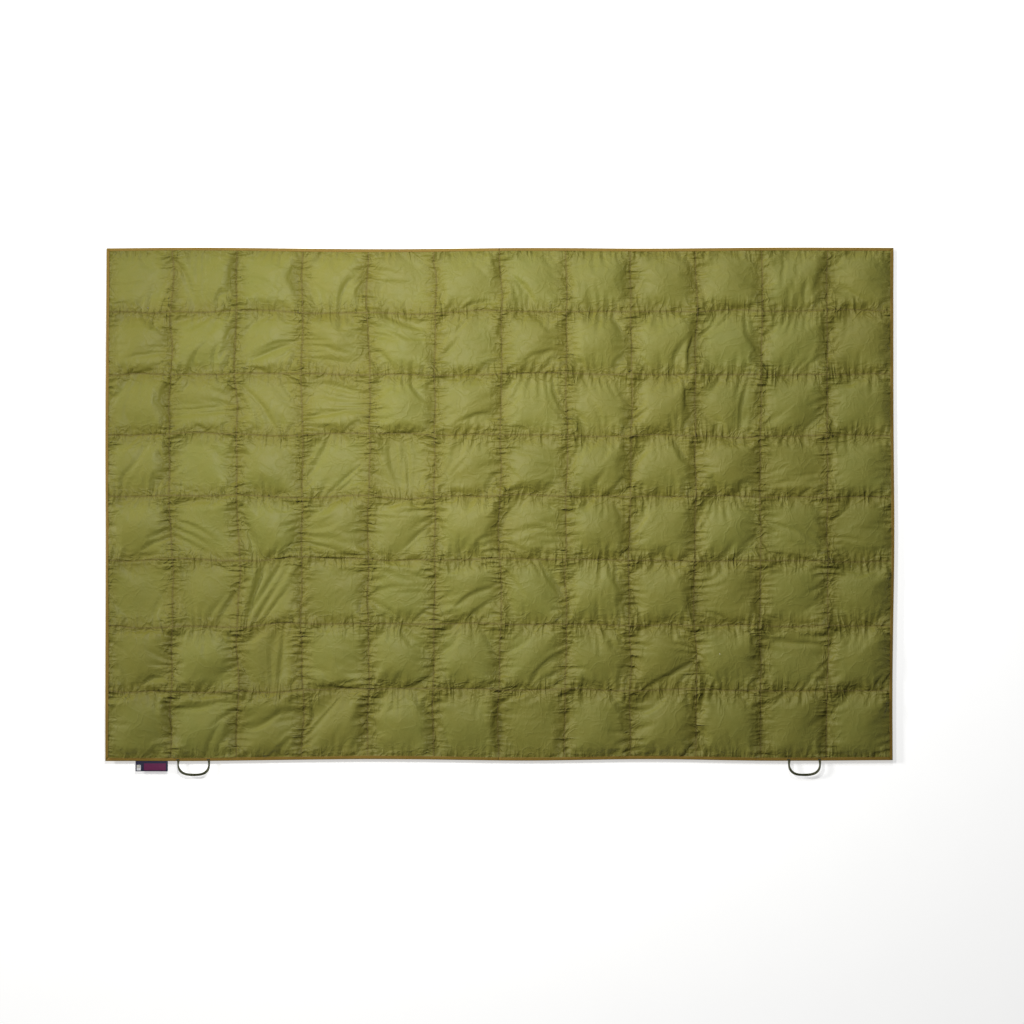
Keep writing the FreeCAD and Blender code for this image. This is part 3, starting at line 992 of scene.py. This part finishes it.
def buildGathers():
    # short creases that run into the cells from each seam, and slanting ones round the crossings
    group, given, result = newGroup("gathers", {"Vector": None, "Spacing": 80.0, "Reach": 0.030}, ("Height",))
    axes = splitVector(group, given["Vector"])
    total = None
    close = []
    for axis, pitch, stretch, shift in (("Y", pitchY, (1.0, 0.2, 1.0), 3.0),
                                        ("X", pitchX, (0.2, 1.0, 1.0), 9.0)):
        place = times(group, axes[axis], 1 / pitch)
        away = times(group, awayFromLine(group, place), pitch)
        near = remap(group, mathNode(group, "DIVIDE", away, given["Reach"]), 1.0, 0.05)
        patch = remap(group, noiseNode(group, given["Vector"], 13.0 + shift, 2.0), 0.36, 0.62, 0.15, 1.25)
        near = times(group, mathNode(group, "POWER", near, 1.4), patch)
        close.append(remap(group, away, 0.055, 0.0))
        total = addRidges(group, given, total, near, stretch, 0.0, shift)
    both = times(group, times(group, close[0], close[1]), 1.3)
    for turn, shift in ((0.785, 21.0), (-0.785, 33.0)):
        total = addRidges(group, given, total, both, (0.22, 0.9, 1.0), turn, shift)
    feed(group, result["Height"], total)
    return group


def addRidges(group, given, total, strength, stretch, turn, shift):
    # sharp-topped folds from noise drawn out in one direction
    mapping = group.nodes.new("ShaderNodeMapping")
    mapping.inputs["Location"].default_value = (shift, shift * 0.7, 0)
    mapping.inputs["Rotation"].default_value = (0, 0, turn)
    mapping.inputs["Scale"].default_value = stretch
    feed(group, mapping.inputs["Vector"], given["Vector"])
    folds = noiseNode(group, mapping.outputs["Vector"], given["Spacing"], 1.5, 0.5, 0.6)
    folds = mathNode(group, "ABSOLUTE", timesPlus(group, folds, 2.6, -1.3))
    folds = mathNode(group, "SUBTRACT", 1.0, folds)
    folds = mathNode(group, "POWER", mathNode(group, "MAXIMUM", folds, 0.0), 1.6)
    if total is None:
        return times(group, folds, strength)
    return timesPlus(group, folds, strength, total)


def buildCells():
    # nearness to the quilting seams and a value for each cell, from a map that runs 0 to 1 over the quilt
    group, given, result = newGroup("cellGrid", {"Vector": None}, ("Seam", "CreaseAndSeamShade", "Cell"))
    axes = splitVector(group, given["Vector"])
    near = []
    counts = []
    for axis, count, pitch in (("X", columns, pitchX), ("Y", rows, pitchY)):
        place = times(group, axes[axis], float(count))
        near.append(times(group, awayFromLine(group, place), pitch))
        counts.append(mathNode(group, "FLOOR", place))
    nearest = mathNode(group, "MINIMUM", near[0], near[1])
    # painted shade: this mask darkens the shell on the seam lines, where the valleys are deepest; it also
    # roughens them
    feed(group, result["Seam"], remap(group, nearest, 0.004, 0.0))
    # this mask sets the crease strength and also painted shade: the shell darkens within 35 mm of every seam
    feed(group, result["CreaseAndSeamShade"], remap(group, nearest, 0.035, 0.002))
    cell = group.nodes.new("ShaderNodeTexWhiteNoise")
    cell.noise_dimensions = "1D"
    feed(group, cell.inputs["W"], timesPlus(group, counts[1], 17.0, counts[0]))
    feed(group, result["Cell"], cell.outputs["Value"])
    return group


weaveGroup = buildWeave()
driftGroup = buildDrift()
crinkleGroup = buildCrinkle()
gatherGroup = buildGathers()
cellGroup = buildCells()


def newMaterial(name, **sockets):
    # constants go straight onto the shader's own sockets
    material = bpy.data.materials.new(name)
    material.use_nodes = True
    tree = material.node_tree
    shader = tree.nodes["Principled BSDF"]
    for socketName, value in sockets.items():
        shader.inputs[socketName].default_value = value
    return material, tree, shader


def clothPlace(tree, source="UV", size=(1.0, 1.0, 1.0), turn=0.0):
    place = tree.nodes.new("ShaderNodeTexCoord")
    mapping = tree.nodes.new("ShaderNodeMapping")
    mapping.inputs["Scale"].default_value = size
    mapping.inputs["Rotation"].default_value = (0, 0, turn)
    tree.links.new(place.outputs[source], mapping.inputs["Vector"])
    return place.outputs[source], mapping.outputs["Vector"]


def addBump(tree, shader, layers):
    # each layer is a height, its strength and its depth in metres, laid over the one before
    normal = None
    for height, strength, depth in layers:
        bump = tree.nodes.new("ShaderNodeBump")
        bump.inputs["Strength"].default_value = strength
        bump.inputs["Distance"].default_value = depth
        feed(tree, bump.inputs["Height"], height)
        feed(tree, bump.inputs["Normal"], normal)
        normal = bump.outputs["Normal"]
    tree.links.new(normal, shader.inputs["Normal"])


def driftOf(tree, metres, look):
    return useGroup(tree, driftGroup, Vector=metres, Colour=look["colour"], Drifted=look["drifted"],
                    Scale=look["drift"])


def shellNylon(name, look):
    material, tree, shader = newMaterial(name, **look["shader"])
    unit, metres = clothPlace(tree, "UV", (length, width, 1))
    weave = useGroup(tree, weaveGroup, Vector=metres, Warp=look["yarns"], Weft=look["yarns"])
    drift = driftOf(tree, metres, look)
    crinkle = useGroup(tree, crinkleGroup, Vector=metres, Scale=look["crinkle"])
    cells = useGroup(tree, cellGroup, Vector=unit)
    gathers = useGroup(tree, gatherGroup, Vector=metres, Spacing=look["spacing"], Reach=look["reach"])
    colour = toneTo(tree, drift["Colour"], cells["Cell"], look["cellTone"], look["deeper"])
    colour = toneTo(tree, colour, weave["Shade"], look["yarnTone"], look["deeper"])
    # painted shade: the cloth darkens towards the deeper colour within a few centimetres of every seam, where
    # the cells' valleys fall into shade
    colour = toneTo(tree, colour, cells["CreaseAndSeamShade"], look["nearSeamShadeTone"], look["deeper"])
    # painted shade: darker again on the seam line itself
    colour = toneTo(tree, colour, cells["Seam"], look["seamValleyShadeTone"], look["seamValleyShadeColour"])
    tree.links.new(colour, shader.inputs["Base Color"])
    rough = timesPlus(tree, crinkle["Height"], look["roughSpread"], look["rough"])
    rough = timesPlus(tree, cells["Seam"], 0.12, rough)
    tree.links.new(rough, shader.inputs["Roughness"])
    crease = times(tree, crinkle["Height"], timesPlus(tree, cells["CreaseAndSeamShade"], 0.7, 0.3))
    addBump(tree, shader, ((gathers["Height"], *look["gathers"]), (crease, *look["crease"]),
                           (weave["Height"], *look["weave"])))
    return material


topNylon = {
    "shader": {"Sheen Weight": 0.12, "Sheen Roughness": 0.4, "Sheen Tint": (0.75, 0.78, 0.30, 1),
               "Specular IOR Level": 0.28, "IOR": 1.5},
    "colour": (0.188, 0.196, 0.037, 1),
    "drifted": (0.218, 0.207, 0.038, 1),
    # the deeper colour serves the random cell and yarn tones and also the painted shade near the seams
    "deeper": (0.138, 0.112, 0.009, 1),
    # painted shade colour of the seam valleys
    "seamValleyShadeColour": (0.092, 0.064, 0.006, 1),
    "drift": 2.5,
    "crinkle": 28.0,
    "yarns": 7000.0,
    "cellTone": 0.22,
    "yarnTone": 0.25,
    # painted shade: strength of the darkening near the seams
    "nearSeamShadeTone": 0.42,
    # painted shade: strength of the darkening on the seam lines
    "seamValleyShadeTone": 0.50,
    "rough": 0.46,
    "roughSpread": 0.16,
    "spacing": 40.0,
    "reach": 0.048,
    "gathers": (0.9, 0.0060),     # strength and depth of each layer of relief
    "crease": (0.8, 0.0040),
    "weave": (0.5, 0.00008),
}
backNylon = dict(topNylon, colour=(0.155, 0.162, 0.030, 1), drifted=(0.180, 0.172, 0.032, 1), crinkle=24.0,
                 rough=0.5)


def tapeMaterial(name, look):
    # narrow woven goods: a colour, ribs or twill across it, and worn high spots
    material, tree, shader = newMaterial(name, **look["shader"])
    metres = clothPlace(tree, "Object", turn=look["turn"])[1]
    weave = useGroup(tree, weaveGroup, Vector=metres, Warp=look["warp"], Weft=look["weft"])
    drift = driftOf(tree, metres, look)
    colour = toneTo(tree, drift["Colour"], weave["Shade"], look["yarnTone"], look["deeper"])
    tree.links.new(colour, shader.inputs["Base Color"])
    rough = timesPlus(tree, drift["Amount"], 0.15, look["rough"])
    tree.links.new(rough, shader.inputs["Roughness"])
    addBump(tree, shader, ((drift["Amount"], 0.25, 0.0006), (weave["Height"], look["relief"], look["depth"])))
    return material


bindingLook = {
    "shader": {"Sheen Weight": 0.15, "Sheen Roughness": 0.5, "Sheen Tint": (0.9, 0.75, 0.4, 1),
               "Specular IOR Level": 0.3},
    "turn": 0.785, "warp": 5200.0, "weft": 1300.0, "drift": 8.0,
    "colour": (0.215, 0.130, 0.013, 1), "drifted": (0.270, 0.170, 0.022, 1),
    "deeper": (0.115, 0.066, 0.006, 1),
    "yarnTone": 0.4, "rough": 0.55, "relief": 0.6, "depth": 0.0002,
}
quiltingThreadLook = {
    "shader": {"Specular IOR Level": 0.4, "Sheen Weight": 0.2},
    "turn": 0.6, "warp": 9000.0, "weft": 5000.0, "drift": 6.0,
    "colour": (0.185, 0.150, 0.040, 1), "drifted": (0.260, 0.210, 0.070, 1),
    "deeper": (0.090, 0.065, 0.015, 1),
    "yarnTone": 0.45, "rough": 0.5, "relief": 0.5, "depth": 0.0001,
}
bindingThreadLook = dict(quiltingThreadLook, colour=(0.20, 0.12, 0.02, 1), drifted=(0.25, 0.16, 0.03, 1))
loopLook = {
    "shader": {"Sheen Weight": 0.1, "Specular IOR Level": 0.35},
    "turn": 0.0, "warp": 3.0, "weft": 420.0, "drift": 6.0,
    "colour": (0.045, 0.050, 0.018, 1), "drifted": (0.075, 0.080, 0.030, 1),
    "deeper": (0.015, 0.016, 0.006, 1),
    "yarnTone": 0.6, "rough": 0.6, "relief": 0.8, "depth": 0.0004,
}
fillLook = {
    "shader": {"Sheen Weight": 0.4, "Sheen Roughness": 0.6},
    "turn": 0.0, "warp": 900.0, "weft": 1100.0, "drift": 30.0,
    "colour": (0.74, 0.71, 0.64, 1), "drifted": (0.56, 0.53, 0.47, 1),
    "deeper": (0.38, 0.36, 0.32, 1),
    "yarnTone": 0.3, "rough": 0.85, "relief": 0.6, "depth": 0.0015,
}
labelThreadLook = dict(quiltingThreadLook, colour=(0.72, 0.71, 0.66, 1), drifted=(0.6, 0.58, 0.52, 1),
                       deeper=(0.4, 0.4, 0.38, 1))
labelLook = {
    "shader": {"Sheen Weight": 0.1, "Specular IOR Level": 0.45},
    "border": (0.012, 0.011, 0.045, 1),
    "stripe": (0.135, 0.010, 0.070, 1),
    "mark": (0.80, 0.80, 0.84, 1),
    "stripePlace": ((0.26, 0.94), (0.14, 0.40)),      # along the fold, and away from it
    "markPlace": ((0.035, 0.165), (0.13, 0.35)),
    "dark": (0.01, 0.01, 0.015, 1),
    "rough": 0.42,
    "yarns": 1500.0,
}


def wovenLabel(name, look):
    # a border, a centre stripe and a small square at one end, all woven in
    material, tree, shader = newMaterial(name, **look["shader"])
    unit, metres = clothPlace(tree, "UV", (*label["flat"], 1))
    axes = splitVector(tree, unit)
    fold = mathNode(tree, "ABSOLUTE", mathNode(tree, "SUBTRACT", axes["Y"], 0.5))
    colour = look["border"]
    for part in ("stripe", "mark"):
        along, away = look[part + "Place"]
        inside = times(tree, between(tree, axes["X"], *along), between(tree, fold, *away))
        colour = mixColour(tree, inside, colour, look[part])
    weave = useGroup(tree, weaveGroup, Vector=metres, Warp=look["yarns"] * 3, Weft=look["yarns"])
    shaded = mixColour(tree, times(tree, weave["Shade"], 0.5), colour, look["dark"], "MULTIPLY")
    shaded = mixColour(tree, 0.45, colour, shaded)
    tree.links.new(shaded, shader.inputs["Base Color"])
    tree.links.new(timesPlus(tree, weave["Shade"], 0.2, look["rough"]), shader.inputs["Roughness"])
    addBump(tree, shader, ((weave["Height"], 0.7, 0.0003),))
    return material


def paint(material, *pieces):
    for piece in pieces:
        piece.data.materials.clear()
        piece.data.materials.append(material)


paint(shellNylon("oliveNylonTop", topNylon), topShellWest, topShellEast)
paint(shellNylon("oliveNylonBack", backNylon), backShellWest, backShellEast)
paint(tapeMaterial("bindingTwill", bindingLook), *bindings.values())
paint(tapeMaterial("quiltingThread", quiltingThreadLook), *verticalStitches, *horizontalStitches)
paint(tapeMaterial("bindingThread", bindingThreadLook), *bindingStitches)
paint(tapeMaterial("loopGrosgrain", loopLook), leftLoop, rightLoop)
paint(tapeMaterial("down", fillLook), *fills)
paint(wovenLabel("wovenLabel", labelLook), labelPiece)
paint(tapeMaterial("tackThread", dict(loopLook, warp=9000.0, weft=4000.0)), leftLoopTacks, rightLoopTacks)
paint(tapeMaterial("labelThread", labelThreadLook), labelTack)
print("materials made")


# hide the CAD nodes that each piece replaces, and hang some pieces on the body they ride with

def acrossFold(piece):
    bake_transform(piece)


def standFor(piece, slotName, *nodes):
    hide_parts(*nodes)


sheets = (
    (topShellWest, topShellEast, "top_shell_", "top_shell_fabric"),
    (backShellWest, backShellEast, "back_shell_", "back_shell_fabric"),
    (bindings["bindingTopWest"], bindings["bindingTopEast"], "binding_top_", "edge_binding"),
    (bindings["bindingBottomWest"], bindings["bindingBottomEast"], "binding_bottom_", "edge_binding"),
    (horizontalStitches[0], horizontalStitches[1], "horizontal_stitches_", "quilting_thread"),
    (bindingStitches[0], bindingStitches[1], "binding_stitches_", "binding_thread"),
)
for west, east, prefix, slotName in sheets:
    standFor(west, slotName, prefix + "left", prefix + "middle")
    standFor(east, slotName, prefix + "right")
    acrossFold(west)
    acrossFold(east)

for side in ("left", "right"):
    piece = bindings["bindingLeftSide" if side == "left" else "bindingRightSide"]
    standFor(piece, "edge_binding", "binding_" + side + "_side")
    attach(piece, side + "_third")


def carry(piece, lowX, highX):
    # a crosswise piece rides on its third; one that comes within a fold is baked where it lies
    for side in ("left", "right"):
        if highX > foldX[side] - zones[side] and lowX < foldX[side] + zones[side]:
            acrossFold(piece)
            return
    middle = (lowX + highX) / 2
    body = "middle_third"
    if middle < foldX["left"]:
        body = "left_third"
    elif middle > foldX["right"]:
        body = "right_third"
    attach(piece, body)


for number, piece in enumerate(verticalStitches, start=1):
    x = left + number * pitchX
    standFor(piece, "quilting_thread", "vertical_stitches_%02d" % number)
    carry(piece, x - 0.01, x + 0.01)

for number, piece in enumerate(fills, start=1):
    standFor(piece, "fill", "down_fill_column_%02d" % number)
    carry(piece, left + (number - 1) * pitchX, left + number * pitchX)


def fromRoot(piece):
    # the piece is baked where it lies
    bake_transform(piece)


for piece, name in ((leftLoop, "left_loop"), (rightLoop, "right_loop")):
    standFor(piece, "loop_tape", name)
    fromRoot(piece)

for piece, node, third in ((leftLoopTacks, "left_loop_bar_tacks", "left_third"),
                           (rightLoopTacks, "right_loop_bar_tacks", "right_third")):
    standFor(piece, "binding_thread", node)
    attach(piece, third)

standFor(labelPiece, "woven_label", "label")
fromRoot(labelPiece)
standFor(labelTack, "label_thread", "label_bar_tack")
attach(labelTack, "label")


# floor and light

floorLook = {
    "colour": (0.86, 0.86, 0.86, 1), "drifted": (0.83, 0.83, 0.83, 1), "drift": 0.6,
    "rough": 0.9, "glow": 0.50,
}


def addFloor():
    bpy.ops.object.select_all(action="DESELECT")
    bpy.ops.mesh.primitive_plane_add(size=14, location=(0, 0, 0))
    floor = bpy.context.object
    floor.name = "floor"
    material, tree, shader = newMaterial("palePaper", **{"Specular IOR Level": 0.1})
    metres = clothPlace(tree, "Object")[1]
    drift = driftOf(tree, metres, floorLook)
    tree.links.new(drift["Colour"], shader.inputs["Base Color"])
    shader.inputs["Roughness"].default_value = floorLook["rough"]
    shader.inputs["Emission Color"].default_value = (1, 1, 1, 1)
    shader.inputs["Emission Strength"].default_value = floorLook["glow"]
    paint(material, floor)


lamps = {
    "key": {"at": (-0.4, 0.5, 1.45), "towards": (-0.1, 0.2, 0.0), "size": (0.35, 0.3), "power": 20,
            "tint": (1.0, 0.99, 0.96)},
    "rake": {"at": (-8.0, 2.0, 3.5), "towards": (0.2, 0.0, 0.0), "size": (1.8, 1.0), "power": 440,
             "tint": (1.0, 0.99, 0.96)},
    "fill": {"at": (0.6, 1.6, 1.9), "towards": (0.8, 0.3, 0.0), "size": (0.6, 0.6), "power": 17,
             "tint": (0.98, 0.99, 1.0)},
}
worldLight = {"colour": (1, 1, 1, 1), "strength": 0.13}


def aim(piece, towards):
    offset = [towards[i] - piece.location[i] for i in range(3)]
    across = math.hypot(offset[0], offset[1])
    piece.rotation_euler = (math.atan2(across, -offset[2]), 0, math.atan2(-offset[0], offset[1]))


def addLight():
    for name, lamp in lamps.items():
        bpy.ops.object.light_add(type="AREA", location=lamp["at"])
        light = bpy.context.object
        light.name = name + "Light"
        light.data.shape = "RECTANGLE"
        light.data.size, light.data.size_y = lamp["size"]
        light.data.energy = lamp["power"]
        light.data.color = lamp["tint"]
        aim(light, lamp["towards"])
    world = bpy.data.worlds.new("room")
    world.use_nodes = True
    background = world.node_tree.nodes["Background"]
    background.inputs["Color"].default_value = worldLight["colour"]
    background.inputs["Strength"].default_value = worldLight["strength"]
    bpy.context.scene.world = world


addFloor()
addLight()
print("floor and lights set")
